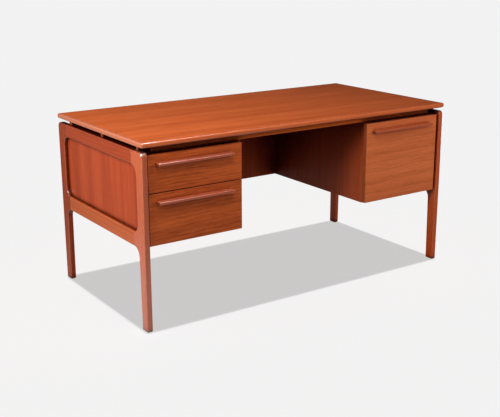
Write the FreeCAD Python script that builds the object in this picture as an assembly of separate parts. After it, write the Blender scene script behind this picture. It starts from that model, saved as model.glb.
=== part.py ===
import FreeCAD, Part
import math
import os

from FreeCAD import Placement, Rotation, Vector

# A writing desk in the Danish manner: a thin top floats over two open side frames, and two drawer
# pedestals hang between the frames. Millimetres, X to the right, front towards -Y, Z up from the floor.
# The origin lies on the floor, in the middle of the desk's outline with its pulls.

# Overall sizes
desk_width = 1500.0
desk_depth = 750.0
desk_height = 724.0

# Top board: a veneered core between four solid lippings, mitred at the corners
top_thickness = 20.0
lipping_width = 14.0
top_corner_radius = 9.0
top_arris_radius = 6.5
under_bevel_rise = 4.0
under_bevel_run = 7.0
nose_radius = 5.0

# Spacers that hold the top clear of the side frames
frame_gap = 15.0
spacer_diameter = 11.0
spacer_count = 3
spacer_front_inset = 58.0
spacer_back_inset = 112.0

# Side frames: two legs and two rails, cut in one flowing outline
frame_end_inset = 1.0
frame_edge_inset = 4.0
frame_thickness = 24.0
frame_corner_radius = 17.0
leg_width = 50.0
leg_knee_width = 46.0
leg_foot_width = 40.0
leg_stub_length = 80.0
top_rail_height = 54.0
bottom_rail_height = 58.0
rail_below_case = 8.0
window_radius = 38.0
knee_radius = 36.0
outer_arris_radius = 6.0
inner_arris_radius = 2.5
foot_chamfer = 5.0

# Dowels in the joints between legs and rails
dowel_diameter = 8.0
dowel_length = 36.0
dowel_spacing = 24.0
dowel_clearance = 0.1

# End panels, let into a rebate behind the frame's window
panel_recess = 15.0
panel_rebate = 10.0

# Pedestal cases and the modesty panel between them
knee_width = 630.0
case_board = 16.0
case_height = 350.0
case_back_inset = 63.0
case_back_thickness = 12.0
case_rabbet = 6.0
modesty_housing = 4.0

# Stretchers between the cases and the top
front_stretcher_end_gap = 35.0
rear_stretcher_end_gap = 3.0
stretcher_height = 24.0
front_stretcher_setback = 41.0
front_stretcher_depth = 22.0
rear_stretcher_depth = 42.0
stretcher_arris = 2.0

# Drawer fronts, which overlay the cases
front_inset = 14.0
front_thickness = 20.0
front_seat_gap = 0.5
front_leg_gap = 6.0
front_bottom_margin = 2.5
front_top_margin = 6.5
front_arris = 1.5
drawer_gap = 3.0
upper_front_height = 141.0

# Drawer boxes
drawer_back_clearance = 81.0
drawer_side_clearance = 1.0
drawer_side = 12.0
drawer_back = 12.0
drawer_bottom = 6.0
drawer_bottom_rise = 8.0
bottom_groove = 5.0
front_housing = 6.0
back_housing = 4.0
box_head_drop = 27.0
back_head_drop = 8.0
box_arris = 2.0

# Runners under the drawer sides
runner_width = 14.0
runner_height = 12.0
runner_front_setback = 6.0
runner_back_setback = 13.5
runner_arris = 1.5
slide_clearance = 0.3

# Pulls: a lip along the front, a scoop behind it on top and a finger cove below
pull_left_inset = 33.0
pull_right_inset = 45.0
pull_projection = 24.0
pull_height = 13.0
pull_drop = 34.0
pull_lip = 7.0
pull_waist = 11.0
scoop_depth = 4.0
scoop_radius = 10.0
waist_thickness = 6.0
cove_radius = 4.5
lip_radius = 4.5
lip_under_radius = 2.0
pull_end_arris = 1.0

# Countersunk wood screws
screw_diameter = 4.0
screw_head_diameter = 7.6
screw_head_depth = 2.4
screw_clearance = 0.1
screw_bite = 12.0
pull_screw_inset = 58.0
case_screw_inset = 91.0
case_screw_edge = 5.0
runner_screw_inset = 60.0

# Planes that the pieces share
pull_overhang = max(0.0, pull_projection - front_inset)
top_front = (pull_overhang - desk_depth) / 2
top_back = top_front + desk_depth
top_underside = desk_height - top_thickness

frame_outside = desk_width / 2 - frame_end_inset
frame_inside = frame_outside - frame_thickness
frame_front = top_front + frame_edge_inset
frame_back = top_back - frame_edge_inset
frame_top = top_underside - frame_gap
window_top = frame_top - top_rail_height
window_front = frame_front + leg_width
window_back = frame_back - leg_width
joint_front = frame_front + leg_stub_length
joint_back = frame_back - leg_stub_length
panel_face = frame_outside - panel_recess

front_face = top_front + front_inset
front_rear = front_face + front_thickness
case_front = front_rear + front_seat_gap
case_back = top_back - case_back_inset
case_top = top_underside - stretcher_height
case_underside = case_top - case_height
bottom_rail_underside = case_underside - rail_below_case
window_bottom = bottom_rail_underside + bottom_rail_height
case_floor = case_underside + case_board
case_ceiling = case_top - case_board
back_board_front = case_back - case_back_thickness
knee_side = knee_width / 2
bay_inner = knee_side + case_board
bay_outer = frame_inside - case_board

front_outer = frame_inside - front_leg_gap
front_low = case_underside + front_bottom_margin
front_high = case_top - front_top_margin
upper_front_low = front_high - upper_front_height
box_rise = case_floor + runner_height + slide_clearance - front_low
box_inner = bay_inner + drawer_side_clearance
box_outer = bay_outer - drawer_side_clearance
box_back = back_board_front - drawer_back_clearance
runner_front = case_front + runner_front_setback
runner_back = box_back - runner_back_setback
cove_depth = pull_height - scoop_depth - waist_thickness

# Each drawer: its name, the pedestal that holds it, and the bottom and top of its front
LEFT = -1
RIGHT = 1
SIDES = (("left", LEFT), ("right", RIGHT))
DRAWERS = (
    ("upper_left", LEFT, upper_front_low, front_high),
    ("lower_left", LEFT, front_low, upper_front_low - drawer_gap),
    ("right", RIGHT, front_low, front_high),
)
# Every pull lies the same way on its front, so its insets from the knee space and the leg change places
PULL_INSETS = {
    LEFT: (pull_right_inset, pull_left_inset),
    RIGHT: (pull_left_inset, pull_right_inset),
}
TOUCH = 0.01


def block(x_ends, y_ends, z_ends):
    """A plain board between two planes in each direction."""
    lows = [min(ends) for ends in (x_ends, y_ends, z_ends)]
    spans = [abs(ends[1] - ends[0]) for ends in (x_ends, y_ends, z_ends)]
    return Part.makeBox(*spans, Vector(*lows))


def edges_where(shape, test):
    """The edges of a shape whose own box passes a test."""
    return [edge for edge in shape.Edges if test(edge.BoundBox)]


def on_side(shape, side):
    """A piece drawn for the right-hand side, mirrored when it belongs on the left."""
    if side == RIGHT:
        return shape
    return shape.mirror(Vector(0, 0, 0), Vector(1, 0, 0))


def outline(corners, place):
    """A closed wire through corners (u, v, radius of the rounding); place turns u and v into a point."""
    turns = []
    for index, (u, v, radius) in enumerate(corners):
        corner = place(u, v)
        if radius == 0:
            turns.append((corner, None, corner))
            continue
        before = place(*corners[index - 1][:2])
        after = place(*corners[(index + 1) % len(corners)][:2])
        to_before = (before - corner).normalize()
        to_after = (after - corner).normalize()
        half_angle = to_before.getAngle(to_after) / 2
        reach = radius / math.tan(half_angle)
        inward = (to_before + to_after).normalize()
        middle = corner + inward * (radius / math.sin(half_angle) - radius)
        turns.append((corner + to_before * reach, middle, corner + to_after * reach))
    edges = []
    for index, (start, middle, end) in enumerate(turns):
        edges.append(Part.makeLine(turns[index - 1][2], start))
        if middle is not None:
            edges.append(Part.Arc(start, middle, end).toShape())
    return Part.Wire(edges)


def screw(head, direction, length, margin=0.0):
    """A countersunk screw from its head's middle; with a margin, the hole that it sits in."""
    shank = screw_diameter / 2 + margin
    rim = screw_head_diameter / 2 + margin
    profile = [
        Vector(0, 0, 0),
        Vector(rim, 0, 0),
        Vector(shank, 0, screw_head_depth),
        Vector(shank, 0, length + margin),
        Vector(0, 0, length + margin),
    ]
    body = Part.Face(Part.makePolygon(profile + profile[:1])).revolve(Vector(0, 0, 0), Vector(0, 0, 1), 360)
    body.Placement = Placement(head, Rotation(Vector(0, 0, 1), direction))
    return body


def drill(pieces, names, holes):
    """Cuts the same holes from several pieces."""
    for name in names:
        pieces[name] = pieces[name].cut(holes)


def top_plan(inset, height):
    """The top's plan as a wire, drawn in all round by an inset, at a height."""
    x = desk_width / 2 - inset
    front = top_front + inset
    back = top_back - inset
    radius = top_corner_radius - inset * (math.sqrt(2) - 1)
    corners = ((-x, front, radius), (x, front, radius), (x, back, radius), (-x, back, radius))
    return outline(corners, lambda u, v: Vector(u, v, height))


def make_top(pieces):
    """The core and its lippings: one plate with a soft upper arris and a bevelled underside, cut apart."""
    bevel_top = top_underside + under_bevel_rise
    upper = Part.Face(top_plan(0, bevel_top)).extrude(Vector(0, 0, desk_height - bevel_top))
    lower = Part.makeLoft([top_plan(under_bevel_run, top_underside), top_plan(0, bevel_top)], True, True)
    plate = upper.fuse(lower).removeSplitter()
    upper_rim = edges_where(plate, lambda box: box.ZMin > desk_height - TOUCH)
    plate = plate.makeFillet(top_arris_radius, upper_rim)
    nose = edges_where(plate, lambda box: box.ZMin > bevel_top - TOUCH and box.ZMax < bevel_top + TOUCH)
    plate = plate.makeFillet(nose_radius, nose)

    core_side = desk_width / 2 - lipping_width
    core_front = top_front + lipping_width
    core_back = top_back - lipping_width
    core = block((-core_side, core_side), (core_front, core_back), (top_underside, desk_height))
    pieces["top_panel"] = plate.common(core)

    inner = [(-core_side, core_front), (core_side, core_front), (core_side, core_back), (-core_side, core_back)]
    outward = [(-1, -1), (1, -1), (1, 1), (-1, 1)]
    reach = 2 * lipping_width
    outer = [(x + dx * reach, y + dy * reach) for (x, y), (dx, dy) in zip(inner, outward)]
    for index, name in enumerate(("front", "right", "back", "left")):
        following = (index + 1) % len(inner)
        corners = [inner[index], inner[following], outer[following], outer[index], inner[index]]
        wedge = Part.Face(Part.makePolygon([Vector(x, y, top_underside) for x, y in corners]))
        pieces["top_lipping_" + name] = plate.common(wedge.extrude(Vector(0, 0, top_thickness)))


def frame_ring():
    """One whole side frame before it is cut into legs and rails, on the right-hand side."""
    def at_inside(y, z):
        return Vector(frame_inside, y, z)

    through = Vector(frame_thickness, 0, 0)
    ring_corners = (
        (frame_front, 0, 0),
        (frame_front, frame_top, frame_corner_radius),
        (frame_back, frame_top, frame_corner_radius),
        (frame_back, 0, 0),
        (frame_back - leg_foot_width, 0, 0),
        (frame_back - leg_knee_width, bottom_rail_underside, knee_radius),
        (frame_front + leg_knee_width, bottom_rail_underside, knee_radius),
        (frame_front + leg_foot_width, 0, 0),
    )
    window_corners = (
        (window_front, window_bottom, window_radius),
        (window_front, window_top, window_radius),
        (window_back, window_top, window_radius),
        (window_back, window_bottom, window_radius),
    )
    ring = Part.Face(outline(ring_corners, at_inside)).extrude(through)
    outer_rim = edges_where(ring, lambda box: box.XMin > frame_outside - TOUCH and box.ZMax > TOUCH)
    ring = ring.makeFillet(outer_arris_radius, outer_rim)
    inner_rim = edges_where(ring, lambda box: box.XMax < frame_inside + TOUCH and box.ZMax > TOUCH)
    ring = ring.makeFillet(inner_arris_radius, inner_rim)
    feet = edges_where(ring, lambda box: box.ZMax < TOUCH)
    ring = ring.makeChamfer(foot_chamfer, feet)

    ring = ring.cut(Part.Face(outline(window_corners, at_inside)).extrude(through))
    window_rim = edges_where(
        ring,
        lambda box: box.XMin > frame_outside - TOUCH
        and box.YMin > window_front - TOUCH
        and box.YMax < window_back + TOUCH
        and box.ZMin > window_bottom - TOUCH
        and box.ZMax < window_top + TOUCH,
    )
    return ring.makeFillet(outer_arris_radius, window_rim)


def make_side_frames(pieces):
    """Legs, rails and end panels of both sides, with the dowels in their joints and the spacers on top."""
    panel = block(
        (frame_inside, panel_face),
        (window_front - panel_rebate, window_back + panel_rebate),
        (window_bottom - panel_rebate, window_top + panel_rebate),
    )
    ring = frame_ring().cut(panel)
    window_middle = (window_bottom + window_top) / 2
    thickness = (frame_inside, frame_outside)
    frame_parts = {
        "front_{}_leg": block(thickness, (frame_front, joint_front), (0, frame_top)),
        "rear_{}_leg": block(thickness, (joint_back, frame_back), (0, frame_top)),
        "{}_bottom_rail": block(thickness, (joint_front, joint_back), (0, window_middle)),
        "{}_top_rail": block(thickness, (joint_front, joint_back), (window_middle, frame_top)),
    }

    dowel_x = frame_outside - panel_recess / 2
    rail_middles = (bottom_rail_underside + bottom_rail_height / 2, frame_top - top_rail_height / 2)
    dowels = []
    dowel_holes = []
    for y in (joint_front, joint_back):
        for rail_middle in rail_middles:
            for z in (rail_middle - dowel_spacing / 2, rail_middle + dowel_spacing / 2):
                for group, margin in ((dowels, 0.0), (dowel_holes, dowel_clearance)):
                    start = Vector(dowel_x, y - dowel_length / 2 - margin, z)
                    radius = dowel_diameter / 2 + margin
                    group.append(Part.makeCylinder(radius, dowel_length + 2 * margin, start, Vector(0, 1, 0)))

    spacer_x = frame_inside + inner_arris_radius + spacer_diameter / 2
    spacers = []
    first = top_front + spacer_front_inset
    pitch = (top_back - spacer_back_inset - first) / (spacer_count - 1)
    for index in range(spacer_count):
        foot = Vector(spacer_x, first + index * pitch, frame_top)
        spacers.append(Part.makeCylinder(spacer_diameter / 2, frame_gap, foot))

    all_dowels = []
    all_spacers = []
    for name, side in SIDES:
        for pattern, region in frame_parts.items():
            pieces[pattern.format(name)] = on_side(ring.common(region).cut(dowel_holes), side)
        pieces[name + "_end_panel"] = on_side(panel, side)
        all_dowels += [on_side(dowel, side) for dowel in dowels]
        all_spacers += [on_side(spacer, side) for spacer in spacers]
    pieces["frame_dowels"] = Part.makeCompound(all_dowels)
    pieces["frame_spacers"] = Part.makeCompound(all_spacers)


def make_cases(pieces):
    """Both pedestal cases, the modesty panel and the stretchers that carry the top."""
    depth = (case_front, case_back)
    height = (case_underside, case_top)
    board_depth = (case_front, back_board_front)
    board_width = (bay_inner - case_rabbet, bay_outer + case_rabbet)
    modesty_end = knee_side + modesty_housing
    modesty = block((-modesty_end, modesty_end), (case_back - case_board, case_back), height)
    bottom = block(board_width, board_depth, (case_underside, case_floor))
    top = block(board_width, board_depth, (case_ceiling, case_top))
    back = block(board_width, (back_board_front, case_back), height)
    housed = [bottom, top, back]
    case_parts = {
        "outer_side": block((bay_outer, frame_inside), depth, height).cut(housed),
        "inner_side": block((knee_side, bay_inner), depth, height).cut(housed + [modesty]),
        "bottom": bottom,
        "top": top,
        "back": back,
    }
    for name, side in SIDES:
        for part_name, shape in case_parts.items():
            pieces[name + "_case_" + part_name] = on_side(shape, side)
    pieces["modesty_panel"] = modesty

    front_edge = top_front + front_stretcher_setback
    stretcher_ends = {"front_stretcher": front_stretcher_end_gap, "rear_stretcher": rear_stretcher_end_gap}
    stretcher_depths = {
        "front_stretcher": (front_edge, front_edge + front_stretcher_depth),
        "rear_stretcher": (case_back - rear_stretcher_depth, case_back),
    }
    for name, stretcher_y in stretcher_depths.items():
        half = frame_inside - stretcher_ends[name]
        rail = block((-half, half), stretcher_y, (case_top, top_underside))
        long_edges = edges_where(rail, lambda box: box.XLength > half)
        pieces[name] = rail.makeFillet(stretcher_arris, long_edges)


def pull_ends(side):
    """How far from the middle of the desk the pulls of one pedestal start and end."""
    knee_inset, leg_inset = PULL_INSETS[side]
    return knee_side + knee_inset, front_outer - leg_inset


def pull_shape(top_edge, start, end):
    """A pull from start to end, on the right-hand side, on a drawer front whose top edge is given."""
    half = pull_height / 2
    lip_foot = pull_projection - pull_lip
    corners = (
        (0, half, 0),
        (pull_waist, half - scoop_depth, scoop_radius),
        (pull_projection, half, lip_radius),
        (pull_projection, -half, lip_radius),
        (lip_foot, -half, lip_under_radius),
        (pull_waist, cove_depth - half, cove_radius),
        (0, -half, 0),
    )
    middle = top_edge - pull_drop
    profile = outline(corners, lambda out, up: Vector(start, front_face - out, middle + up))
    pull = Part.Face(profile).extrude(Vector(end - start, 0, 0))
    end_rims = edges_where(pull, lambda box: box.XLength < TOUCH and box.YMin < front_face - TOUCH)
    return pull.makeChamfer(pull_end_arris, end_rims)


def make_drawer(pieces, name, side, low, high):
    """One drawer: an overlay front with its pull, and a box whose sides are housed in the front."""
    base = low + box_rise
    head = high - box_head_drop
    bottom_low = base + drawer_bottom_rise
    bottom_high = bottom_low + drawer_bottom
    side_depth = (front_rear - front_housing, box_back)
    sides = {
        "outer_side": block((box_outer - drawer_side, box_outer), side_depth, (base, head)),
        "inner_side": block((box_inner, box_inner + drawer_side), side_depth, (base, head)),
    }
    groove_width = (box_inner + drawer_side - bottom_groove, box_outer - drawer_side + bottom_groove)
    back_width = (box_inner + drawer_side - back_housing, box_outer - drawer_side + back_housing)
    bottom = block(groove_width, (front_rear - bottom_groove, box_back), (bottom_low, bottom_high))
    back = block(back_width, (box_back - drawer_back, box_back), (bottom_high, head - back_head_drop))

    front = block((knee_side, front_outer), (front_face, front_rear), (low, high))
    face_rim = edges_where(front, lambda box: box.YMax < front_face + TOUCH)
    front = front.makeFillet(front_arris, face_rim)
    for part_name, board in sides.items():
        upper_edges = edges_where(board, lambda box: box.ZMin > head - TOUCH and box.YLength > drawer_side)
        sides[part_name] = board.makeFillet(box_arris, upper_edges).cut([bottom, back])
        front = front.cut(sides[part_name])
    front = front.cut(bottom)
    pull_start, pull_end = pull_ends(side)
    pull = pull_shape(high, pull_start, pull_end)

    screw_height = high - pull_drop + (cove_depth - scoop_depth) / 2
    screws = []
    for x in (pull_start + pull_screw_inset, pull_end - pull_screw_inset):
        head_middle = Vector(x, front_rear, screw_height)
        screw_length = front_thickness + screw_bite
        screws.append(screw(head_middle, Vector(0, -1, 0), screw_length))
        hole = screw(head_middle, Vector(0, -1, 0), screw_length, screw_clearance)
        front = front.cut(hole)
        pull = pull.cut(hole)

    drawer_parts = {
        "front": front,
        "pull": pull,
        "outer_side": sides["outer_side"],
        "inner_side": sides["inner_side"],
        "back": back,
        "bottom": bottom,
        "pull_screws": Part.makeCompound(screws),
    }
    for part_name, shape in drawer_parts.items():
        pieces[name + "_drawer_" + part_name] = on_side(shape, side)


def make_runners(pieces, name, side, low):
    """The pair of runners that carries one drawer, screwed to the case sides; returns the screws."""
    top = low + box_rise - slide_clearance
    depth = (runner_front, runner_back)
    height = (top - runner_height, top)
    screws = []
    for end, wall, way in (("outer", bay_outer, 1), ("inner", bay_inner, -1)):
        free_face = wall - way * runner_width
        runner = block((free_face, wall), depth, height)
        free_edge = edges_where(
            runner,
            lambda box: box.YLength > runner_width
            and box.ZMin > top - TOUCH
            and abs(box.XMin - free_face) < TOUCH,
        )
        runner = runner.makeFillet(runner_arris, free_edge)
        runner_name = name + "_" + end + "_runner"
        case_name = ("left" if side == LEFT else "right") + "_case_" + end + "_side"
        pieces[runner_name] = on_side(runner, side)
        for y in (runner_front + runner_screw_inset, runner_back - runner_screw_inset):
            head_middle = Vector(free_face, y, top - runner_height / 2)
            length = runner_width + screw_bite
            screws.append(on_side(screw(head_middle, Vector(way, 0, 0), length), side))
            hole = on_side(screw(head_middle, Vector(way, 0, 0), length, screw_clearance), side)
            drill(pieces, (runner_name, case_name), [hole])
    return screws


def make_case_screws(pieces):
    """Screws from inside each case into the rails of its side frame."""
    heights = {
        "top": window_top + panel_rebate + case_screw_edge,
        "bottom": window_bottom - panel_rebate - case_screw_edge,
    }
    length = case_board + screw_bite
    screws = []
    for name, side in SIDES:
        for rail, z in heights.items():
            for y in (joint_front + case_screw_inset, joint_back - case_screw_inset):
                head = Vector(bay_outer, y, z)
                screws.append(on_side(screw(head, Vector(1, 0, 0), length), side))
                hole = on_side(screw(head, Vector(1, 0, 0), length, screw_clearance), side)
                drill(pieces, (name + "_case_outer_side", name + "_" + rail + "_rail"), [hole])
    pieces["case_screws"] = Part.makeCompound(screws)


def make_top_screws(pieces):
    """Screws up through each case's top and a stretcher into the top board."""
    length = case_board + stretcher_height + screw_bite
    screws = []
    for stretcher in ("front_stretcher", "rear_stretcher"):
        y = pieces[stretcher].BoundBox.Center.y
        for name, side in SIDES:
            head = Vector(side * (bay_inner + bay_outer) / 2, y, case_ceiling)
            screws.append(screw(head, Vector(0, 0, 1), length))
            hole = screw(head, Vector(0, 0, 1), length, screw_clearance)
            drill(pieces, (name + "_case_top", stretcher, "top_panel"), [hole])
    pieces["top_screws"] = Part.makeCompound(screws)


desk = {}
make_top(desk)
make_side_frames(desk)
make_cases(desk)
runner_screws = []
for drawer_name, drawer_side_sign, front_bottom, front_top in DRAWERS:
    make_drawer(desk, drawer_name, drawer_side_sign, front_bottom, front_top)
    runner_screws += make_runners(desk, drawer_name, drawer_side_sign, front_bottom)
desk["runner_screws"] = Part.makeCompound(runner_screws)
make_case_screws(desk)
make_top_screws(desk)

os.makedirs("parts", exist_ok=True)
for node, solid in desk.items():
    solid.exportStep("parts/" + node + ".step")
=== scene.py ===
import math

import bpy
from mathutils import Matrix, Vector

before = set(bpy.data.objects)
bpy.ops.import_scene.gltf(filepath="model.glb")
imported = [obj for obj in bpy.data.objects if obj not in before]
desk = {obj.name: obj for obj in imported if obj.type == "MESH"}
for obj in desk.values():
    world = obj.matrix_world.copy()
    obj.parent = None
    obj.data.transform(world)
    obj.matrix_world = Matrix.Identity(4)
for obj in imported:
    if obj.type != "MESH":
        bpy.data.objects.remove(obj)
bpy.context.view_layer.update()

# Side frames
# Each end of the desk stands on an open frame of solid teak: two tapering legs and two rails, dowelled
# together, then shaped as one so that the knees flow. The grain runs along every piece. The right legs are
# coloured paler as painted light and the rear left leg darker as painted shade, and the top rails are darker
# than the bottom rails. Oiled by hand.


def tint(red, green, blue):
    """A colour as the eye reads it, out of 255, as linear light."""
    channels = [value / 255 for value in (red, green, blue)]
    linear = [c / 12.92 if c <= 0.04045 else ((c + 0.055) / 1.055) ** 2.4 for c in channels]
    return (*linear, 1.0)


def add(tree, kind, inputs=(), **settings):
    """A shader node: its settings first, then its inputs, joined to another node or given a value."""
    made = tree.nodes.new("ShaderNode" + kind)
    for name, value in settings.items():
        setattr(made, name, value)
    for socket, value in dict(inputs).items():
        if isinstance(value, bpy.types.NodeSocket):
            tree.links.new(value, made.inputs[socket])
        else:
            made.inputs[socket].default_value = value
    return made


def calculate(tree, operation, *values):
    """One sum in a shader, on numbers or on other nodes' outputs."""
    return add(tree, "Math", dict(enumerate(values)), operation=operation).outputs[0]


def smooth_step(tree, value, low, high):
    """0 at low, 1 at high, and a smooth rise between."""
    inputs = {"Value": value, "From Min": low, "From Max": high}
    return add(tree, "MapRange", inputs, interpolation_type="SMOOTHSTEP").outputs["Result"]


def blend_colours(tree, share, first, second):
    """Two colours mixed by a share."""
    return add(tree, "Mix", {0: share, 6: first, 7: second}, data_type="RGBA").outputs[2]


def on_vectors(tree, operation, *values):
    """One sum on vectors in a shader."""
    return add(tree, "VectorMath", dict(enumerate(values)), operation=operation)


def new_group(name, inputs, outputs):
    """An empty shader group: its tree, its incoming sockets and those that its results go to, by name."""
    tree = bpy.data.node_groups.new(name, "ShaderNodeTree")
    for direction, sockets in (("INPUT", inputs), ("OUTPUT", outputs)):
        for socket, kind in sockets.items():
            tree.interface.new_socket(name=socket, in_out=direction, socket_type="NodeSocket" + kind)
    return tree, tree.nodes.new("NodeGroupInput").outputs, tree.nodes.new("NodeGroupOutput").inputs


NOISE_MIDDLE = 0.5
SWAY_REACH = 0.05
PORE_DARKNESS = 0.3
PORE_ROUGHNESS = 0.15
END_DARKNESS = 0.75
END_ROUGHNESS = 0.2
FLECK_HEIGHT = 0.4


def make_grain():
    """Wood as it grows, with its heart along X: rings, streaks, flecks, dark lines, pores and end grain."""
    inputs = {
        "Position": "Vector",
        "Facing": "Vector",
        "Pale": "Color",
        "Deep": "Color",
        "Line": "Color",
        "Tone": "Float",
        "Shortness": "Float",
        "Ring Pitch": "Float",
        "Figure": "Float",
        "Streak": "Float",
        "Lines": "Float",
        "Roughness": "Float",
    }
    outputs = {"Color": "Color", "Roughness": "Float", "Height": "Float"}
    tree, given, result = new_group("wood grain", inputs, outputs)
    position = given["Position"]

    def drawn_out(along, across, detail):
        """A noise that is stretched along the grain; along and across are in features per metre."""
        scale = add(tree, "CombineXYZ", {
            "X": calculate(tree, "MULTIPLY", given["Shortness"], along),
            "Y": across,
            "Z": across,
        })
        stretched = on_vectors(tree, "MULTIPLY", position, scale.outputs[0]).outputs[0]
        return add(tree, "TexNoise", {"Vector": stretched, "Scale": 1.0, "Detail": detail}).outputs

    def about_zero(value, swing):
        """A noise or a tone, made to swing about 0."""
        return calculate(tree, "MULTIPLY", calculate(tree, "SUBTRACT", value, NOISE_MIDDLE), swing)

    sway = drawn_out(along=0.9, across=4.0, detail=2.0)["Color"]
    sway = on_vectors(tree, "SUBTRACT", sway, (NOISE_MIDDLE, NOISE_MIDDLE, NOISE_MIDDLE)).outputs[0]
    bent = on_vectors(tree, "MULTIPLY_ADD", sway, (0, SWAY_REACH, SWAY_REACH), position).outputs[0]
    across = on_vectors(tree, "MULTIPLY", bent, (0, 1, 1)).outputs[0]
    radius = on_vectors(tree, "LENGTH", across).outputs["Value"]
    ring = calculate(tree, "FRACT", calculate(tree, "DIVIDE", radius, given["Ring Pitch"]))
    ripening = smooth_step(tree, ring, low=0.2, high=0.9)
    ending = smooth_step(tree, ring, low=1.0, high=0.9)
    late_wood = calculate(tree, "MULTIPLY", ripening, ending)

    broad = drawn_out(along=0.8, across=12.0, detail=2.0)["Fac"]
    streaks = drawn_out(along=5.0, across=150.0, detail=3.0)["Fac"]
    flecks = drawn_out(along=24.0, across=420.0, detail=2.0)["Fac"]
    dark_lines = smooth_step(tree, drawn_out(along=7.0, across=190.0, detail=1.0)["Fac"], low=0.55, high=0.72)
    pores = smooth_step(tree, drawn_out(along=60.0, across=2400.0, detail=0.0)["Fac"], low=0.64, high=0.74)

    streaky = calculate(tree, "ADD", about_zero(streaks, swing=1.6), about_zero(broad, swing=1.5))
    streaky = calculate(tree, "ADD", streaky, about_zero(flecks, swing=1.2))
    figured = calculate(tree, "MULTIPLY", about_zero(late_wood, swing=0.8), given["Figure"])
    tone = calculate(tree, "MULTIPLY_ADD", streaky, given["Streak"], figured)
    tone = calculate(tree, "ADD", tone, calculate(tree, "ADD", given["Tone"], NOISE_MIDDLE))
    tone = add(tree, "Clamp", {"Value": tone}).outputs[0]

    colour = blend_colours(tree, tone, given["Pale"], given["Deep"])
    lined = calculate(tree, "MULTIPLY", dark_lines, given["Lines"])
    colour = blend_colours(tree, lined, colour, given["Line"])
    pored = calculate(tree, "MULTIPLY", pores, PORE_DARKNESS)
    colour = blend_colours(tree, pored, colour, given["Line"])
    lengthwise = add(tree, "SeparateXYZ", {0: given["Facing"]}).outputs["X"]
    end_grain = smooth_step(tree, calculate(tree, "ABSOLUTE", lengthwise), low=0.7, high=0.95)
    darkened = calculate(tree, "MULTIPLY", end_grain, END_DARKNESS)
    colour = blend_colours(tree, darkened, colour, given["Line"])
    tree.links.new(colour, result["Color"])

    rough = calculate(tree, "ADD", given["Roughness"], about_zero(tone, swing=0.08))
    rough = calculate(tree, "MULTIPLY_ADD", pores, PORE_ROUGHNESS, rough)
    rough = calculate(tree, "MULTIPLY_ADD", end_grain, END_ROUGHNESS, rough)
    tree.links.new(rough, result["Roughness"])
    hollows = calculate(tree, "MULTIPLY", pores, -1.0)
    tree.links.new(calculate(tree, "MULTIPLY_ADD", flecks, FLECK_HEIGHT, hollows), result["Height"])
    return tree


def make_arris_rub_and_sheen():
    """Arrises, paled for wear and as a painted highlight: 1 on an arris, sharp or rounded, 0 on a flat."""
    inputs = {"Reach": "Float", "Facing": "Vector"}
    tree, given, result = new_group("arris rub and sheen", inputs, {"Rub And Sheen": "Float"})
    rounded = add(tree, "Bevel", {"Radius": given["Reach"]}, samples=4).outputs["Normal"]
    flat = add(tree, "NewGeometry").outputs["True Normal"]
    alike = on_vectors(tree, "DOT_PRODUCT", rounded, flat).outputs["Value"]
    sharp = smooth_step(tree, calculate(tree, "SUBTRACT", 1.0, alike), low=0.005, high=0.2)
    part = add(tree, "SeparateXYZ", {0: on_vectors(tree, "ABSOLUTE", given["Facing"]).outputs[0]}).outputs
    most = calculate(tree, "MAXIMUM", calculate(tree, "MAXIMUM", part["X"], part["Y"]), part["Z"])
    turning = smooth_step(tree, most, low=0.98, high=0.85)
    tree.links.new(calculate(tree, "MAXIMUM", sharp, turning), result["Rub And Sheen"])
    return tree


def make_painted_shade():
    """Painted shade: 1 deep in a gap, recess or corner, where shade falls, and 0 in the open."""
    inputs = {"Reach": "Float", "Open": "Float", "Closed": "Float"}
    tree, given, result = new_group("painted_shade_group", inputs, {"Painted Shade": "Float"})
    openness = add(tree, "AmbientOcclusion", {"Distance": given["Reach"]}, samples=6).outputs["AO"]
    tree.links.new(smooth_step(tree, openness, given["Open"], given["Closed"]), result["Painted Shade"])
    return tree


wood_grain = make_grain()
arris_rub_and_sheen = make_arris_rub_and_sheen()
painted_shade_group = make_painted_shade()
QUARTER = math.pi / 2
# How the tree is turned, by the axis that the grain runs along and the axis across it on the show face
GRAIN_TURNS = {
    ("X", "Y"): (0.0, 0.0, 0.0),
    ("X", "Z"): (-QUARTER, 0.0, 0.0),
    ("Y", "X"): (0.0, 0.0, -QUARTER),
    ("Y", "Z"): (-QUARTER, -QUARTER, 0.0),
    ("Z", "X"): (QUARTER, 0.0, QUARTER),
    ("Z", "Y"): (0.0, QUARTER, 0.0),
}
PLAIN_GRAIN = {
    "Shortness": 1.0,
    "Ring Pitch": 0.008,
    "Figure": 0.35,
    "Streak": 0.7,
    "Lines": 0.2,
    "Roughness": 0.36,
}
RUB_AND_SHEEN_REACH = 0.0025
RUB_AND_SHEEN_PALING = 0.08
POLISHED_ROUGHNESS = 0.22
GRAIN_DEPTH = 0.00015
GRAIN_RELIEF = 0.5
# Painted shade in gaps and corners: how far its occlusion test reaches, in metres, and how open a place is
# where it starts and where it is full
OPEN_PAINTED_SHADE = (0.04, 0.9, 0.45)
PAINTED_SHADE_TINT = (0.2, 0.12, 0.08)


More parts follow.
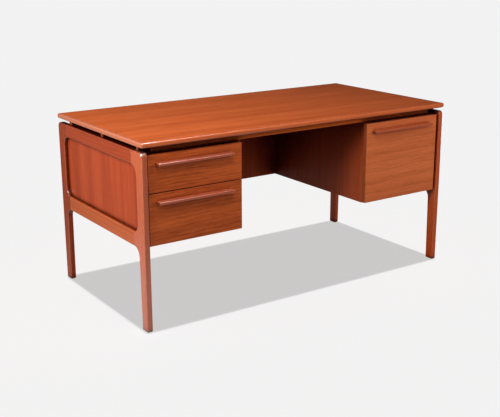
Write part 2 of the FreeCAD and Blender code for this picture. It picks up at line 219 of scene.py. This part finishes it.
def wood(name, colours, run, heart, grain=(), gloss=0.4, rub_and_sheen=0.3, polish=0.6,
         painted_shade=OPEN_PAINTED_SHADE, shade=PAINTED_SHADE_TINT, leaf=None, spread=0.3):
    """A finished wood: colours are pale, deep and line, and heart is where the tree's middle lies."""
    made = bpy.data.materials.new(name)
    made.use_nodes = True
    tree = made.node_tree
    shader = tree.nodes["Principled BSDF"]
    shader.inputs["Specular IOR Level"].default_value = gloss
    coordinates = add(tree, "TexCoord").outputs
    turn = GRAIN_TURNS[run]
    across = {"Vector": coordinates["Object"], "Rotation": turn, "Location": (0.0, -heart[0], -heart[1])}
    position = add(tree, "Mapping", across).outputs[0]
    facing = add(tree, "Mapping", {"Vector": coordinates["Normal"], "Rotation": turn}, vector_type="VECTOR")
    figure = add(tree, "Group", node_tree=wood_grain)
    if leaf:
        leaves = add(tree, "Group", node_tree=veneer_leaves)
        leaves.inputs["Leaf Width"].default_value = leaf
        leaves.inputs["Spread"].default_value = spread
        tree.links.new(position, leaves.inputs["Position"])
        tree.links.new(leaves.outputs["Tone"], figure.inputs["Tone"])
        position = leaves.outputs["Position"]
    tree.links.new(position, figure.inputs["Position"])
    tree.links.new(facing.outputs[0], figure.inputs["Facing"])
    settings = {**PLAIN_GRAIN, **dict(grain), **dict(zip(("Pale", "Deep", "Line"), colours))}
    for socket, value in settings.items():
        figure.inputs[socket].default_value = value

    rub_and_sheen_mask = add(tree, "Group", node_tree=arris_rub_and_sheen)
    rub_and_sheen_mask.inputs["Reach"].default_value = RUB_AND_SHEEN_REACH
    tree.links.new(coordinates["Normal"], rub_and_sheen_mask.inputs["Facing"])
    rub_and_sheen_share = calculate(tree, "MULTIPLY", rub_and_sheen_mask.outputs["Rub And Sheen"], rub_and_sheen)
    # The arrises are paled towards white: partly real wear, partly a painted highlight.
    rub_and_sheen_colour = [channel + (1 - channel) * RUB_AND_SHEEN_PALING for channel in colours[0][:3]]
    colour = blend_colours(tree, rub_and_sheen_share, figure.outputs["Color"], (*rub_and_sheen_colour, 1.0))
    if polish:
        polished = calculate(tree, "MULTIPLY", rub_and_sheen_mask.outputs["Rub And Sheen"], polish)
        tree.links.new(polished, shader.inputs["Coat Weight"])
        shader.inputs["Coat Roughness"].default_value = POLISHED_ROUGHNESS
    # Painted shade: the colour is darkened and tinted where the occlusion test finds a gap or a corner
    painted_shading = add(tree, "Group", node_tree=painted_shade_group)
    for socket, value in zip(("Reach", "Open", "Closed"), painted_shade):
        painted_shading.inputs[socket].default_value = value
    shaded_colour = on_vectors(tree, "MULTIPLY", colour, shade).outputs[0]
    colour = blend_colours(tree, painted_shading.outputs["Painted Shade"], colour, shaded_colour)
    tree.links.new(colour, shader.inputs["Base Color"])
    tree.links.new(figure.outputs["Roughness"], shader.inputs["Roughness"])
    relief = {"Height": figure.outputs["Height"], "Distance": GRAIN_DEPTH, "Strength": GRAIN_RELIEF}
    tree.links.new(add(tree, "Bump", relief).outputs[0], shader.inputs["Normal"])
    return made


def dress(names, material):
    """Gives pieces of the desk their finish."""
    for name in names:
        desk[name].data.materials.clear()
        desk[name].data.materials.append(material)


ENDS = ("left", "right")
leg_teak = (tint(206, 99, 54), tint(180, 79, 39), tint(112, 42, 18))
# The right legs are coloured paler as painted light, and the rear left leg darker as painted shade.
painted_light_leg_teak = (tint(220, 97, 42), tint(190, 77, 31), tint(118, 42, 15))
painted_shade_leg_teak = (tint(160, 68, 34), tint(134, 52, 24), tint(84, 30, 13))
rail_teak = (tint(178, 75, 37), tint(150, 57, 26), tint(96, 33, 16))
low_rail_teak = (tint(198, 96, 48), tint(170, 79, 37), tint(106, 45, 21))
leg_grain = {"Ring Pitch": 0.007, "Shortness": 0.5, "Streak": 0.5, "Lines": 0.15, "Roughness": 0.24}
rail_grain = {"Shortness": 0.5, "Streak": 0.6, "Roughness": 0.34}
leg_cut = {"run": ("Z", "Y"), "heart": (1.1, 0.4), "grain": leg_grain}
rail_cut = {"run": ("Y", "Z"), "grain": rail_grain, "gloss": 0.25}
front_leg = wood("front leg teak", leg_teak, **leg_cut, gloss=0.9, polish=1.0)
painted_shade_leg = wood("painted shade leg teak", painted_shade_leg_teak, **leg_cut, gloss=0.1)
painted_light_legs = wood("painted light leg teak", painted_light_leg_teak, **leg_cut, gloss=0.3, polish=1.0)
top_rails = wood("top rail teak", rail_teak, heart=(1.3, 0.3), **rail_cut)
bottom_rails = wood("bottom rail teak", low_rail_teak, heart=(1.3, 0.1), **rail_cut)
dress(["front_left_leg"], front_leg)
dress(["rear_left_leg"], painted_shade_leg)
dress(["front_right_leg", "rear_right_leg"], painted_light_legs)
dress([end + "_top_rail" for end in ENDS], top_rails)
dress([end + "_bottom_rail" for end in ENDS], bottom_rails)

# Dowels
# Two beech dowels pin each joint between a leg and a rail. They are pale, dry and never oiled, and only
# show when a frame is taken apart.
beech = (tint(222, 186, 142), tint(204, 162, 116), tint(172, 124, 84))
BEECH_HEART = (1.0, 0.2)
dowel_grain = {"Ring Pitch": 0.004, "Streak": 0.4, "Lines": 0.3, "Roughness": 0.6}
dowel_finish = wood("dowel beech", beech, run=("Y", "Z"), heart=BEECH_HEART, grain=dowel_grain,
                    gloss=0.3, polish=0.0)
dress(["frame_dowels"], dowel_finish)

# End panels
# The window of each side frame is closed by a board with quartered teak veneer, let into a rebate from
# behind. The leaves stand upright, side by side, each a little lighter or darker than the next.
LEAF_SHIFT = 0.11
LEAF_THICKNESS = 0.0012


def make_veneer_leaves():
    """Leaves of one flitch laid side by side: each is cut a little deeper in the log than the last."""
    inputs = {"Position": "Vector", "Leaf Width": "Float", "Spread": "Float"}
    tree, given, result = new_group("veneer leaves", inputs, {"Position": "Vector", "Tone": "Float"})
    part = add(tree, "SeparateXYZ", {0: given["Position"]}).outputs
    count = calculate(tree, "DIVIDE", part["Y"], given["Leaf Width"])
    leaf = calculate(tree, "FLOOR", count)
    across = calculate(tree, "MULTIPLY", calculate(tree, "FRACT", count), given["Leaf Width"])
    along = calculate(tree, "MULTIPLY_ADD", leaf, LEAF_SHIFT, part["X"])
    deeper = calculate(tree, "MULTIPLY_ADD", leaf, LEAF_THICKNESS, part["Z"])
    moved = add(tree, "CombineXYZ", {"X": along, "Y": across, "Z": deeper})
    tree.links.new(moved.outputs[0], result["Position"])
    chance = add(tree, "TexWhiteNoise", {"W": leaf}, noise_dimensions="1D").outputs["Value"]
    off_centre = calculate(tree, "SUBTRACT", chance, NOISE_MIDDLE)
    tree.links.new(calculate(tree, "MULTIPLY", off_centre, given["Spread"]), result["Tone"])
    return tree


veneer_leaves = make_veneer_leaves()
BOARD_HEART = (1.2, 0.3)
# The panel is coloured darker along the frame's edges, as painted shade.
PANEL_PAINTED_SHADE = (0.022, 0.95, 0.6)
GAP_SHADE = (0.08, 0.03, 0.02)
panel_teak = (tint(186, 77, 38), tint(148, 54, 25), tint(96, 32, 14))
panel_grain = {"Ring Pitch": 0.011, "Figure": 0.4, "Shortness": 0.3, "Streak": 0.9}
panel_finish = wood("panel veneer", panel_teak, run=("Z", "Y"), heart=BOARD_HEART, grain=panel_grain,
                    gloss=0.2, painted_shade=PANEL_PAINTED_SHADE, shade=GAP_SHADE, leaf=0.12)
dress([end + "_end_panel" for end in ENDS], panel_finish)

# Pedestal cases
# Each pedestal is a box of veneered boards, rabbeted and screwed to the side frame. A modesty panel of the
# same veneer is housed between the inner sides, at the back of the knee space, where little light falls.
# Painted shade darkens the boards where they are enclosed: the knee space, its back and the gap under the
# top.
KNEE_PAINTED_SHADE = (0.38, 0.92, 0.58)
BACK_PAINTED_SHADE = (0.3, 0.85, 0.62)
GAP_PAINTED_SHADE = (0.1, 0.95, 0.75)
KNEE_SHADE = (0.12, 0.02, 0.02)
case_teak = (tint(200, 90, 41), tint(168, 67, 26), tint(104, 37, 14))
back_teak = (tint(250, 118, 55), tint(220, 92, 38), tint(136, 51, 20))
case_grain = {"Ring Pitch": 0.011, "Figure": 0.5, "Shortness": 0.3, "Streak": 0.8, "Lines": 0.3}
case_cut = {"heart": BOARD_HEART, "grain": case_grain}
side_finish = wood("case veneer", case_teak, run=("Z", "Y"), **case_cut, gloss=0.2,
                   painted_shade=KNEE_PAINTED_SHADE, shade=KNEE_SHADE, leaf=0.15)
back_finish = wood("back veneer", back_teak, run=("Z", "X"), **case_cut, gloss=0.2,
                   painted_shade=BACK_PAINTED_SHADE, shade=KNEE_SHADE, leaf=0.15)
level_finish = wood("case floor veneer", case_teak, run=("Y", "X"), **case_cut, gloss=0.1,
                    painted_shade=GAP_PAINTED_SHADE, shade=GAP_SHADE)
dress([end + "_case_" + board for end in ENDS for board in ("outer_side", "inner_side")], side_finish)
dress([end + "_case_back" for end in ENDS] + ["modesty_panel"], back_finish)
dress([end + "_case_" + board for end in ENDS for board in ("bottom", "top")], level_finish)

# Stretchers and spacers
# Two solid teak rails lie on the cases and carry the top, and turned spacers hold it clear of the side
# frames. Their colour is more golden than the top's. Of the rails only the front one shows, in the shade
# under the top's front edge, and painted shade darkens it further over the cases.
STRETCHER_PAINTED_SHADE = (0.12, 0.7, 0.58)
under_teak = (tint(232, 110, 38), tint(196, 86, 25), tint(116, 44, 14))
stretcher_finish = wood("stretcher teak", under_teak, run=("X", "Z"), heart=BOARD_HEART,
                        grain={"Shortness": 0.5}, gloss=0.1, painted_shade=STRETCHER_PAINTED_SHADE, shade=GAP_SHADE)
spacer_finish = wood("spacer teak", under_teak, run=("Z", "Y"), heart=BOARD_HEART,
                     grain={"Ring Pitch": 0.006})
dress(["front_stretcher", "rear_stretcher"], stretcher_finish)
dress(["frame_spacers"], spacer_finish)

# Top
# A veneered board with solid lippings, mitred at the corners, rounded above and bevelled away below so that
# it looks thin. The veneer runs the length of the desk in long quiet streaks, rubbed to a low shine.
top_teak = (tint(226, 112, 56), tint(190, 84, 38), tint(128, 52, 24))
# The end lippings are coloured paler and pinker than the top as a painted sheen.
painted_sheen_lipping_teak = (tint(206, 124, 92), tint(186, 102, 70), tint(130, 64, 40))
top_grain = {"Ring Pitch": 0.02, "Figure": 0.3, "Shortness": 0.5, "Streak": 1.2, "Lines": 0.45}
lipping_grain = {"Shortness": 0.5, "Streak": 0.5, "Lines": 0.1, "Roughness": 0.26}
lipping_cut = {"heart": BOARD_HEART, "grain": lipping_grain}
top_finish = wood("top veneer", top_teak, run=("X", "Y"), heart=(1.4, 0.1), grain=top_grain,
                  gloss=0.3, leaf=0.19, spread=0.15)
long_lipping = wood("long lipping", top_teak, run=("X", "Y"), **lipping_cut, rub_and_sheen=0.1, polish=1.0)
end_lipping = wood("end lipping", painted_sheen_lipping_teak, run=("Y", "X"), **lipping_cut, rub_and_sheen=0.2, polish=0.5)
dress(["top_panel"], top_finish)
dress(["top_lipping_front", "top_lipping_back"], long_lipping)
dress(["top_lipping_left", "top_lipping_right"], end_lipping)

# Drawer fronts
# Overlay boards with teak veneer laid level. Both left fronts come from one streaky golden leaf, and the
# deep right front from a more even one, whose pinker colour is partly a painted sheen. Their arrises are
# eased by hand.
DRAWERS = ("upper_left", "lower_left", "right")
# Painted shade darkens the fronts beside the pulls and along their edges.
FRONT_PAINTED_SHADE = (0.03, 0.85, 0.3)
left_front_teak = (tint(220, 104, 45), tint(168, 71, 27), tint(96, 34, 10))
# The right front's pinker colour is partly a painted sheen.
pinker_front_teak_and_sheen = (tint(240, 128, 74), tint(206, 102, 54), tint(136, 60, 31))
left_grain = {
    "Ring Pitch": 0.011,
    "Figure": 0.3,
    "Shortness": 1.6,
    "Streak": 0.8,
    "Lines": 0.3,
    "Roughness": 0.34,
}
right_grain = {"Ring Pitch": 0.03, "Figure": 0.4, "Streak": 0.7, "Roughness": 0.4}
front_cut = {"run": ("X", "Z"), "polish": 0.2, "painted_shade": FRONT_PAINTED_SHADE}
left_front = wood("left front veneer", left_front_teak, **front_cut, heart=(0.26, 0.2), grain=left_grain,
                  gloss=0.25)
right_front = wood("right front veneer", pinker_front_teak_and_sheen, **front_cut, heart=(0.62, 0.1), grain=right_grain,
                   gloss=0.2)
dress(["upper_left_drawer_front", "lower_left_drawer_front"], left_front)
dress(["right_drawer_front"], right_front)

# Pulls
# Each pull is one stick of solid teak with a scoop and a rounded lip, screwed on from behind. Fingers have
# polished the lip until it shines, and the sawn ends show dark end grain.
# The scoop is darkened and tinted as painted shade.
PULL_PAINTED_SHADE = (0.02, 0.8, 0.35)
SCOOP_SHADE = (0.6, 0.5, 0.35)
pull_teak = (tint(204, 95, 47), tint(170, 71, 33), tint(84, 30, 13))
pull_grain = {"Shortness": 0.6, "Streak": 0.5, "Roughness": 0.26}
pull_finish = wood("pull teak", pull_teak, run=("X", "Z"), heart=BOARD_HEART, grain=pull_grain,
                   gloss=0.7, polish=1.0, painted_shade=PULL_PAINTED_SHADE, shade=SCOOP_SHADE)
dress([drawer + "_drawer_pull" for drawer in DRAWERS], pull_finish)

# Drawer boxes
# The boxes behind the fronts are waxed oak, housed together, with bottoms of birch plywood that slide in
# grooves. They are pale and open-pored beside the teak.
oak = (tint(214, 180, 132), tint(190, 150, 100), tint(146, 104, 64))
oak_grain = {"Ring Pitch": 0.005, "Figure": 0.6, "Streak": 0.7, "Lines": 0.35, "Roughness": 0.5}
oak_cut = {"heart": (0.9, 0.3), "grain": oak_grain, "gloss": 0.3, "polish": 0.0}
oak_sides = wood("oak side", oak, run=("Y", "Z"), **oak_cut)
oak_backs = wood("oak back", oak, run=("X", "Z"), **oak_cut)
birch = (tint(226, 198, 154), tint(210, 178, 132), tint(186, 148, 104))
birch_grain = {"Ring Pitch": 0.05, "Figure": 0.5, "Streak": 0.5, "Lines": 0.1, "Roughness": 0.55}
plywood = wood("birch plywood", birch, run=("X", "Y"), heart=(0.4, 0.06), grain=birch_grain,
               gloss=0.3, polish=0.0)
for drawer in DRAWERS:
    dress([drawer + "_drawer_" + side + "_side" for side in ("outer", "inner")], oak_sides)
    dress([drawer + "_drawer_back"], oak_backs)
    dress([drawer + "_drawer_bottom"], plywood)

# Runners
# Strips of hard beech, glued and screwed to the case sides, carry the drawers. Their edges are burnished by
# the drawers that slide on them.
runner_grain = {"Ring Pitch": 0.004, "Streak": 0.5, "Lines": 0.3, "Roughness": 0.42}
runner_finish = wood("runner beech", beech, run=("Y", "X"), heart=BEECH_HEART, grain=runner_grain)
dress([drawer + "_" + side + "_runner" for drawer in DRAWERS for side in ("outer", "inner")], runner_finish)

# Screws
# Plain countersunk steel screws hold the top, the cases, the runners and the pulls. The steel is turned,
# then dulled by a thin brown tarnish that gathers in patches.
TARNISH_PATCH = 300.0
TARNISH_ROUGHNESS = 0.25
BRIGHT_ROUGHNESS = 0.3
TURNING_PITCH = 4000.0
TURNING_DEPTH = 0.00005
TURNING_RELIEF = 0.4
bright_steel = tint(196, 196, 198)
tarnished_steel = tint(120, 100, 84)
steel = bpy.data.materials.new("screw steel")
steel.use_nodes = True
tree = steel.node_tree
shader = tree.nodes["Principled BSDF"]
shader.inputs["Metallic"].default_value = 1.0
spot = add(tree, "TexCoord").outputs["Object"]
patches = add(tree, "TexNoise", {"Vector": spot, "Scale": TARNISH_PATCH, "Detail": 4.0}).outputs["Fac"]
tarnish = smooth_step(tree, patches, low=0.45, high=0.7)
turned = add(tree, "TexNoise", {"Vector": spot, "Scale": TURNING_PITCH, "Detail": 1.0}).outputs["Fac"]
tree.links.new(blend_colours(tree, tarnish, bright_steel, tarnished_steel), shader.inputs["Base Color"])
dulled = calculate(tree, "MULTIPLY_ADD", tarnish, TARNISH_ROUGHNESS, BRIGHT_ROUGHNESS)
tree.links.new(dulled, shader.inputs["Roughness"])
relief = {"Height": turned, "Distance": TURNING_DEPTH, "Strength": TURNING_RELIEF}
tree.links.new(add(tree, "Bump", relief).outputs[0], shader.inputs["Normal"])
dress(["runner_screws", "case_screws", "top_screws"], steel)
dress([drawer + "_drawer_pull_screws" for drawer in DRAWERS], steel)

# Floor
# The desk stands on one sheet of pale paper that is the whole background. The camera sees it as an even
# white with the desk's shadow. It throws a little light up at the wood, and polished wood mirrors only a
# pale pool of it beside the left end, in a dark room.
FLOOR_SIZE = 120.0
WHITE = (1, 1, 1, 1)
PAPER = 0.887
PAPER_GLOW = 0.575
PAPER_ALBEDO = 0.42
BOUNCE_ALBEDO = 0.32
POOL_PLACE = (-0.8, -0.3, 0.0)
POOL_REACH = (1.2, 1.3, 1.0)
ROOM_MIRRORED = 0.02
AMBIENT = 0.02
bpy.ops.mesh.primitive_plane_add(size=FLOOR_SIZE)
floor = bpy.context.object
floor.name = "studio_floor"
paper = bpy.data.materials.new("studio paper")
paper.use_nodes = True
tree = paper.node_tree
tree.nodes.remove(tree.nodes["Principled BSDF"])


def seen_share(tree, brightness):
    """1 for what the camera sees, straight or through glass, and a given brightness for what is mirrored."""
    path = add(tree, "LightPath").outputs
    straight = calculate(tree, "MAXIMUM", path["Is Camera Ray"], path["Is Transmission Ray"])
    mirrored = calculate(tree, "MULTIPLY", path["Is Glossy Ray"], brightness)
    return calculate(tree, "MAXIMUM", straight, mirrored)


glow = add(tree, "Emission", {"Color": WHITE, "Strength": PAPER_GLOW})
lit = add(tree, "BsdfDiffuse", {"Color": (PAPER_ALBEDO, PAPER_ALBEDO, PAPER_ALBEDO, 1)})
shown = add(tree, "AddShader", {0: glow.outputs[0], 1: lit.outputs[0]})
place = add(tree, "TexCoord").outputs["Object"]
place = on_vectors(tree, "SUBTRACT", place, POOL_PLACE).outputs[0]
place = on_vectors(tree, "DIVIDE", place, POOL_REACH).outputs[0]
pool = smooth_step(tree, on_vectors(tree, "LENGTH", place).outputs["Value"], low=1.2, high=0.3)
plain = add(tree, "BsdfDiffuse", {"Color": (BOUNCE_ALBEDO, BOUNCE_ALBEDO, BOUNCE_ALBEDO, 1)})
either = add(tree, "MixShader", {0: seen_share(tree, pool), 1: plain.outputs[0], 2: shown.outputs[0]})
tree.links.new(either.outputs[0], tree.nodes["Material Output"].inputs["Surface"])
floor.data.materials.append(paper)

world = bpy.data.worlds.new("studio")
world.use_nodes = True
bpy.context.scene.world = world
tree = world.node_tree
strength = calculate(tree, "MULTIPLY_ADD", seen_share(tree, ROOM_MIRRORED), PAPER - AMBIENT, AMBIENT)
tree.links.new(strength, tree.nodes["Background"].inputs["Strength"])
tree.nodes["Background"].inputs["Color"].default_value = WHITE

# Lights
# Six softboxes stand round the desk and light the wood evenly, but nothing mirrors them. Four more lamps
# are only mirrored: three by the legs, and a strip by the front lipping and the pulls. One light from
# above falls on the floor alone and throws the desk's shadow, in which the pulls leave no mark.


def lamp(name, kind, place, aim, energy, size):
    """A studio lamp at a place, turned to its aim; its size is its width and height, or its spread."""
    light = bpy.data.lights.new(name, kind)
    light.energy = energy
    if kind == "AREA":
        light.shape = "RECTANGLE"
        light.size, light.size_y = size
    else:
        light.angle = size
    made = bpy.data.objects.new(name, light)
    bpy.context.scene.collection.objects.link(made)
    made.location = place
    made.visible_camera = False
    made.rotation_euler = (Vector(aim) - Vector(place)).to_track_quat("-Z", "Y").to_euler()
    return made


SUN_PLACE = (0, 0, 4)
SUN_AIM = (0, 0, 0)
SUN_STRENGTH = 2.3
SUN_SPREAD = math.radians(1.5)
# Each softbox: its place, its aim, its power in watts, and its width and height in metres
SOFTBOXES = {
    "side softbox": ((-2.4, -0.4, 1.4), (-0.2, 0.0, 0.5), 50.0, (1.2, 1.2)),
    "high softbox": ((-0.8, -1.3, 2.3), (-0.1, -0.1, 0.6), 18.0, (1.0, 1.0)),
    "front softbox": ((1.5, -2.3, 1.3), (0.3, -0.2, 0.5), 22.0, (1.2, 1.2)),
    "overhead softbox": ((-0.6, -0.1, 2.3), (-0.4, 0.0, 0.7), 12.5, (1.0, 1.0)),
    "back softbox": ((0.3, 3.2, 0.5), (0.0, 0.3, 0.45), 40.0, (2.4, 0.8)),
    "right softbox": ((3.2, 0.9, 0.5), (0.7, 0.0, 0.45), 35.0, (1.4, 0.8)),
}
SKY = (0.5, 0.8, 1.0)
PALE_SKY = (0.8, 0.9, 1.0)
LEGS = ("front_left_leg", "front_right_leg", "rear_left_leg", "rear_right_leg")
EDGES = ("top_lipping_front", *(drawer + "_drawer_pull" for drawer in DRAWERS))
# Each glint: the pieces that mirror it and its colour, then as for a softbox
GLINTS = {
    "edge strip": (EDGES, SKY, (-0.4, -0.7, 2.5), (-0.4, -0.699, 0.7), 160.0, (1.3, 0.5)),
    "high glint": (LEGS, PALE_SKY, (-0.8, -1.3, 2.3), (-0.7, -0.36, 0.6), 160.0, (0.6, 0.6)),
    "side glint": (LEGS, PALE_SKY, (-2.4, -0.4, 1.4), (-0.7, -0.36, 0.6), 80.0, (0.6, 0.6)),
    "right glint": (LEGS, PALE_SKY, (3.0, 0.0, 0.2), (0.7, -0.37, 0.4), 70.0, (2.4, 1.4)),
}
sun = lamp("floor light", "SUN", SUN_PLACE, SUN_AIM, SUN_STRENGTH, SUN_SPREAD)
softboxes = [lamp(name, "AREA", *settings) for name, settings in SOFTBOXES.items()]
for name, (pieces, colour, *settings) in GLINTS.items():
    glint = lamp(name, "AREA", *settings)
    glint.visible_diffuse = False
    glint.data.color = colour
    mirrors = bpy.data.collections.new(name)
    for piece in pieces:
        mirrors.objects.link(desk[piece])
    glint.light_linking.receiver_collection = mirrors
desk_only = bpy.data.collections.new("desk only")
desk_only.objects.link(floor)
desk_only.collection_objects[0].light_linking.link_state = "EXCLUDE"
for softbox in softboxes:
    softbox.visible_glossy = False
    softbox.light_linking.receiver_collection = desk_only
floor_only = bpy.data.collections.new("floor only")
floor_only.objects.link(floor)
sun.light_linking.receiver_collection = floor_only
no_shade = bpy.data.collections.new("no shade on the floor")
for drawer in DRAWERS:
    no_shade.objects.link(desk[drawer + "_drawer_pull"])
for member in no_shade.collection_objects:
    member.light_linking.link_state = "EXCLUDE"
sun.light_linking.blocker_collection = no_shade

# Camera
# The lens stands in front of the left end, a little above the eyes of someone seated, and looks down across
# the desk to its far right corner, as the photograph was taken.
SENSOR_WIDTH = 36.0
FOCAL_LENGTH = 65.537
LENS_PLACE = (-2.1933, -3.1781, 1.3907)
LENS_TURN = (73.908, 0.192, -34.22)
view = bpy.data.cameras.new("photo view")
view.sensor_width = SENSOR_WIDTH
view.lens = FOCAL_LENGTH
camera = bpy.data.objects.new("photo view", view)
bpy.context.scene.collection.objects.link(camera)
camera.location = LENS_PLACE
camera.rotation_euler = [math.radians(angle) for angle in LENS_TURN]
bpy.context.scene.camera = camera
bpy.context.scene.view_settings.view_transform = "Standard"
